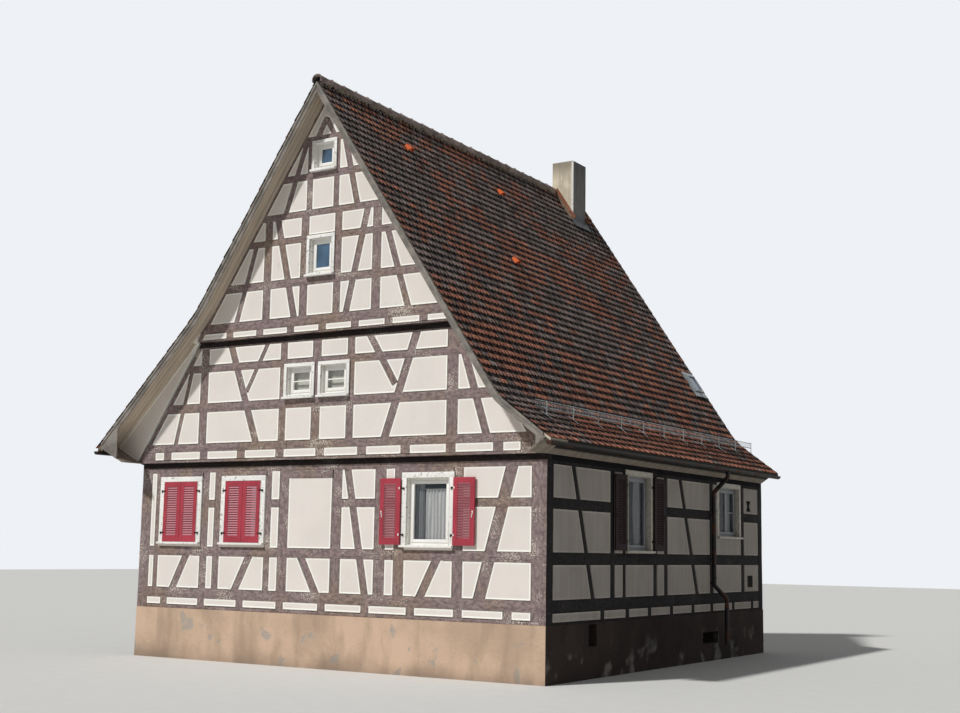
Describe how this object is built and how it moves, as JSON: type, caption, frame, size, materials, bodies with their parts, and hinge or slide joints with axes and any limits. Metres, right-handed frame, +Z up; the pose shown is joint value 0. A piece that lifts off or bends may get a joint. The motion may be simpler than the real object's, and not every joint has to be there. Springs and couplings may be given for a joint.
{
  "type": "half timbered house",
  "caption": "Half timbered gabled house with a jettied front, steep tiled roof with flared eaves, louvred shutters and a tall chimney.",
  "frame": {"origin": "middle of the whole house's base, at the lowest ground level its plinth reaches", "axes": "+Z up, the front gable faces -Y, the street side with gutter and downpipe faces +X, the ridge runs along Y"},
  "size_m": [10.995, 11.19, 12.1],
  "materials": {
    "timber": "weathered stain",
    "plaster": "lime paint",
    "plinth_stone": "rendered and painted",
    "masonry": "rough render",
    "render": "weathered render",
    "floor_timber": "sawn",
    "clay_tile": "weathered clay",
    "roof_boards": "painted boards",
    "barge_boards": "painted grey",
    "soffit_boards": "painted beige",
    "gutter_metal": "weathered paint",
    "zinc": "dull galvanised",
    "glass": "clear",
    "white_trim": "white paint",
    "white_plastic": "satin",
    "hinge_iron": "dull black",
    "shutter_paint": "crimson paint"
  },
  "bodies": {
    "house": {"plinth": "plinth_stone", "party_wall": "masonry", "gable_frame_ground": "timber", "gable_frame_lower": "timber", "gable_frame_upper": "timber", "street_frame": "timber", "court_frame": "timber", "gable_infill_ground": "plaster", "gable_infill_lower": "plaster", "gable_infill_upper": "plaster", "street_infill": "plaster", "court_infill": "plaster", "floor_ground": "floor_timber", "floor_attic_1": "floor_timber", "floor_attic_2": "floor_timber", "floor_attic_3": "floor_timber", "chimney": "render", "roof_tiles_street": "clay_tile", "roof_tiles_court": "clay_tile", "roof_boards_street": "roof_boards", "roof_boards_court": "roof_boards", "ridge_tiles": "clay_tile", "barge_boards": "barge_boards", "eaves_soffits": "soffit_boards", "gutters": "gutter_metal", "downpipes": "gutter_metal", "snow_guard": "zinc", "skylight_frame": "zinc", "skylight_pane": "glass", "surrounds_gable": "white_trim", "surrounds_sides": "white_trim", "sashes_gable": "white_plastic", "sashes_sides": "white_plastic", "panes_gable": "glass", "panes_sides": "glass", "pintles": "hinge_iron"},
    "shutter_gable_1_left": {"shutter_gable_1_left": "shutter_paint"},
    "shutter_gable_1_right": {"shutter_gable_1_right": "shutter_paint"},
    "shutter_gable_2_left": {"shutter_gable_2_left": "shutter_paint"},
    "shutter_gable_2_right": {"shutter_gable_2_right": "shutter_paint"},
    "shutter_gable_3_left": {"shutter_gable_3_left": "shutter_paint"},
    "shutter_gable_3_right": {"shutter_gable_3_right": "shutter_paint"},
    "shutter_street_near": {"shutter_street_near": "shutter_paint"},
    "shutter_street_far": {"shutter_street_far": "shutter_paint"}
  },
  "joints": [
    {"name": "shutter_gable_1_left_hinge", "type": "hinge", "parent": "house", "child": "shutter_gable_1_left", "pos_m": [-4.1085, -4.937, 2.335], "axis": [0, 0, -1], "range_deg": [0, 180]},
    {"name": "shutter_gable_1_right_hinge", "type": "hinge", "parent": "house", "child": "shutter_gable_1_right", "pos_m": [-3.0665, -4.937, 2.335], "axis": [0, 0, 1], "range_deg": [0, 120]},
    {"name": "shutter_gable_2_left_hinge", "type": "hinge", "parent": "house", "child": "shutter_gable_2_left", "pos_m": [-2.4235, -4.937, 2.335], "axis": [0, 0, -1], "range_deg": [0, 120]},
    {"name": "shutter_gable_2_right_hinge", "type": "hinge", "parent": "house", "child": "shutter_gable_2_right", "pos_m": [-1.3815, -4.937, 2.335], "axis": [0, 0, 1], "range_deg": [0, 180]},
    {"name": "shutter_gable_3_left_hinge", "type": "hinge", "parent": "house", "child": "shutter_gable_3_left", "pos_m": [2.0215, -4.937, 2.335], "axis": [0, 0, -1], "range_deg": [-180, 0]},
    {"name": "shutter_gable_3_right_hinge", "type": "hinge", "parent": "house", "child": "shutter_gable_3_right", "pos_m": [3.0635, -4.937, 2.335], "axis": [0, 0, 1], "range_deg": [-180, 0]},
    {"name": "shutter_street_near_hinge", "type": "hinge", "parent": "house", "child": "shutter_street_near", "pos_m": [5.0495, -1.766, 2.3], "axis": [0, 0, -1], "range_deg": [-180, 0]},
    {"name": "shutter_street_far_hinge", "type": "hinge", "parent": "house", "child": "shutter_street_far", "pos_m": [5.0495, -0.644, 2.3], "axis": [0, 0, 1], "range_deg": [-180, 0]}
  ]
}
